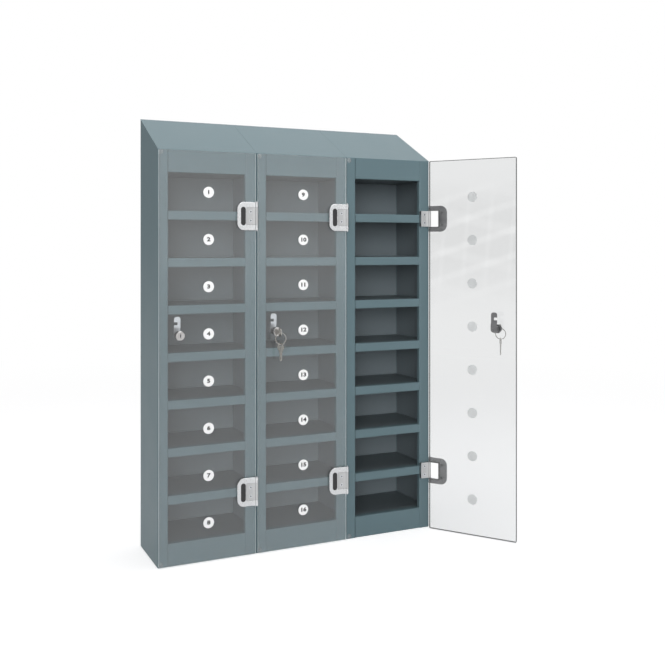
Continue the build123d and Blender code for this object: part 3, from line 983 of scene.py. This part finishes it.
def makeSplitRing():
    # wound round Z, then stood up so that its hole faces the front
    across, along = ringLook["wire"]
    turns = ringLook["turns"]
    steps = int(ringLook["steps"] * turns)
    bpy.ops.object.select_all(action="DESELECT")
    bpy.ops.mesh.primitive_plane_add(size=1, rotation=(math.pi / 2, 0, 0))
    ring = bpy.context.object
    ring.scale = (2 * across, along, 1)
    settle(ring, Matrix.Translation((ringOuter - across, 0, -along * (turns - 1) / 2)))
    editAll(ring)
    bpy.ops.mesh.delete(type="ONLY_FACE")
    bpy.ops.mesh.select_all(action="SELECT")
    bpy.ops.mesh.bevel(
        offset=ringLook["corner"], segments=ringLook["cornerSteps"], affect="VERTICES"
    )
    leaveEdit()
    applyModifier(
        ring,
        "SCREW",
        angle=2 * math.pi * turns,
        screw_offset=along * turns * ringLook["lead"],
        steps=steps,
        render_steps=steps,
        axis="Z",
        use_merge_vertices=False,
    )
    # both ends closed
    editAll(ring)
    bpy.ops.mesh.select_all(action="DESELECT")
    bpy.ops.mesh.select_mode(type="EDGE")
    bpy.ops.mesh.select_non_manifold()
    bpy.ops.mesh.fill_holes(sides=0)
    bpy.ops.mesh.select_all(action="SELECT")
    bpy.ops.mesh.normals_make_consistent(inside=False)
    leaveEdit()
    settle(ring, Matrix.Rotation(math.pi / 2, 4, "X"))
    return ring


splitRing = makeSplitRing()
for number in keyedLockers:
    refine(f"key_{number}", f"door_key_{number}", keyLook["round"])
    refine(f"spare_key_{number}", f"second_key_{number}", keyLook["round"])
    ring = copyMesh(splitRing, f"split_ring_{number}")
    settle(ring, Matrix.Translation(middle(f"key_ring_{number}")) @ doorTurn(number))
    smooth(ring)
    setMaterial(ring, metals["key_blank"])
    finishPiece(ring, f"ring_{number}", "key_metal", f"key_ring_{number}")
bpy.data.objects.remove(splitRing)
print("keys made")


# Floor of a small white studio: lit paper under the lockers, plain white further out
floorLook = {
    "sides": 96,
    "radius": 6.0,
    "colour": (0.61, 0.61, 0.62, 1),
    "grain": {"size": 4 * mm, "detail": 3},
    "grainDepth": 0.01 * mm,
    "lift": 0.62,
    "whiteBetween": (1.0, 4.0),
}


def seenBy(finish, *rays):
    # 1 for what those rays show; 0 for the light that falls on the object
    unseen = 1
    for ray in rays:
        unseen = unseen * (1 - finish.node("ShaderNodeLightPath", output=f"Is {ray} Ray"))
    return 1 - unseen


def makePaper(look):
    finish = newFinish("studio_floor_paper")
    grain = finish.bump(finish.noise(**look["grain"]), look["grainDepth"])
    lit = finish.node("ShaderNodeBsdfDiffuse", {}, {"Color": look["colour"], "Normal": grain})
    spot = finish.node("ShaderNodeTexCoord", output="Object")
    away = finish.node("ShaderNodeVectorMath", {"operation": "LENGTH"}, {0: spot}, "Value")
    far = finish.rise(away, *look["whiteBetween"])
    shown = seenBy(finish, "Camera", "Glossy", "Transmission")
    lifted = finish.node("ShaderNodeAddShader", {}, {0: lit, 1: finish.glow(look["lift"] * shown)})
    return finish.close(finish.blendShaders(far * shown, lifted, finish.glow(1.0)))


bpy.ops.object.select_all(action="DESELECT")
bpy.ops.mesh.primitive_circle_add(
    vertices=floorLook["sides"], radius=floorLook["radius"], fill_type="NGON"
)
floor = bpy.context.object
floor.name = "studio_floor"
setMaterial(floor, makePaper(floorLook))


# World. Each patch of it lies one way, adds its strength there and fades between two edges,
# given as cosines. Gloss shows a pale hall with a brighter wall in front, and dim beams and
# pipes to the left.
roomLook = {
    "pale": 0.85,
    "patches": {
        "windows": {"adds": 0.45, "at": (0.36, -0.93, 0.05), "edges": (0.70, 0.93)},
        "left": {"adds": -0.40, "at": (-0.8746, -0.4848, 0.0), "edges": (0.04, -0.04)},
        "back": {"adds": -0.12, "at": (0, 1, 0), "edges": (0.2, 0.8)},
        "skylight": {"adds": 1.2, "at": (0.33, 0.48, 0.81), "edges": (0.72, 0.95)},
    },
    "horizon": (-0.085, 0.0),
}
beamLook = {
    "dim": 0.80,
    "at": (-0.97, -0.24, 0.0),
    "edges": (0.55, 0.88),
    "top": (0.03, 0.09),
    # runs of thin bright bars square to a direction, closer together the longer it is
    "bars": [
        {"adds": 0.55, "across": (0, 75, 217), "share": 0.6},
        {"adds": 0.33, "across": (0, -40, 150), "share": 0.6},
        {"adds": 0.275, "across": (0, 260, 20), "share": 0.3},
    ],
}
# what falls on the object: a little from all round, a broad bright window by the camera,
# and a weak one behind
lightLook = {
    "even": 0.20,
    "patches": {
        "broad": {"adds": 4.9, "at": (-0.42, -0.905, 0.05), "edges": (0.88, 0.985)},
        "core": {"adds": 4.4, "at": (-0.42, -0.89, 0.17), "edges": (0.93, 0.995)},
        "behind": {"adds": 0.7, "at": (0.35, 0.93, 0.10), "edges": (0.2, 0.9)},
    },
}


def withPatches(sky, ray, level, patches):
    for patch in patches.values():
        level = level + patch["adds"] * sky.rise(sky.along(ray, patch["at"]), *patch["edges"])
    return level


def makeSky():
    world = bpy.data.worlds.new("studio_world")
    sky = Finish(world)
    ray = sky.node("ShaderNodeTexCoord", output="Generated")
    upwards = sky.along(ray, (0, 0, 1))
    hall = withPatches(sky, ray, roomLook["pale"], roomLook["patches"])
    dimSide = sky.rise(sky.along(ray, beamLook["at"]), *beamLook["edges"])
    dimSide = dimSide * (1 - sky.rise(upwards, *beamLook["top"]))
    beams = -beamLook["dim"]
    for run in beamLook["bars"]:
        wave = sky.along(ray, run["across"]).sine()
        beams = beams + run["adds"] * sky.rise(wave, 1 - run["share"], 1)
    hall = hall + beams * dimSide
    # the hall fades into the white floor towards the horizon
    room = 1 + (hall - 1) * sky.rise(upwards, *roomLook["horizon"])
    fallen = withPatches(sky, ray, lightLook["even"], lightLook["patches"])
    directly = seenBy(sky, "Camera", "Transmission")
    inGloss = seenBy(sky, "Glossy") * (1 - directly)
    level = directly + room * inGloss + fallen * (1 - directly) * (1 - inGloss)
    backdrop = sky.node("ShaderNodeBackground", {}, {"Color": grey(1), "Strength": level})
    return sky.close(backdrop, "ShaderNodeOutputWorld")


bpy.context.scene.world = makeSky()

softboxLook = {"at": (0.0, -0.4, 3.2), "towards": (0.0, 0.0, 0.0), "size": (2.4, 1.6), "power": 40}
softboxData = bpy.data.lights.new("overhead_softbox", "AREA")
softboxData.shape = "RECTANGLE"
softboxData.size, softboxData.size_y = softboxLook["size"]
softboxData.energy = softboxLook["power"]
softbox = bpy.data.objects.new("overhead_softbox", softboxData)
bpy.context.scene.collection.objects.link(softbox)
softboxAim = Vector(softboxLook["towards"]) - Vector(softboxLook["at"])
softbox.location = softboxLook["at"]
softbox.rotation_euler = softboxAim.to_track_quat("-Z", "Y").to_euler()
print("studio lit")


# Camera: level, to the left of the lockers, with the frame shifted down to take them in
cameraLook = {
    "at": (-0.8978, -2.1816, 0.7657),
    "turn": -25.145,
    "lens": 48.12,
    "sensor": 36,
    "shiftDown": 0.1287,
}
cameraData = bpy.data.cameras.new("camera")
cameraData.sensor_width = cameraLook["sensor"]
cameraData.sensor_fit = "HORIZONTAL"
cameraData.lens = cameraLook["lens"]
cameraData.shift_y = -cameraLook["shiftDown"]
camera = bpy.data.objects.new("camera", cameraData)
bpy.context.scene.collection.objects.link(camera)
camera.location = cameraLook["at"]
camera.rotation_euler = (math.pi / 2, 0, math.radians(cameraLook["turn"]))
bpy.context.scene.camera = camera
bpy.context.scene.view_settings.view_transform = "Standard"
print("camera placed")
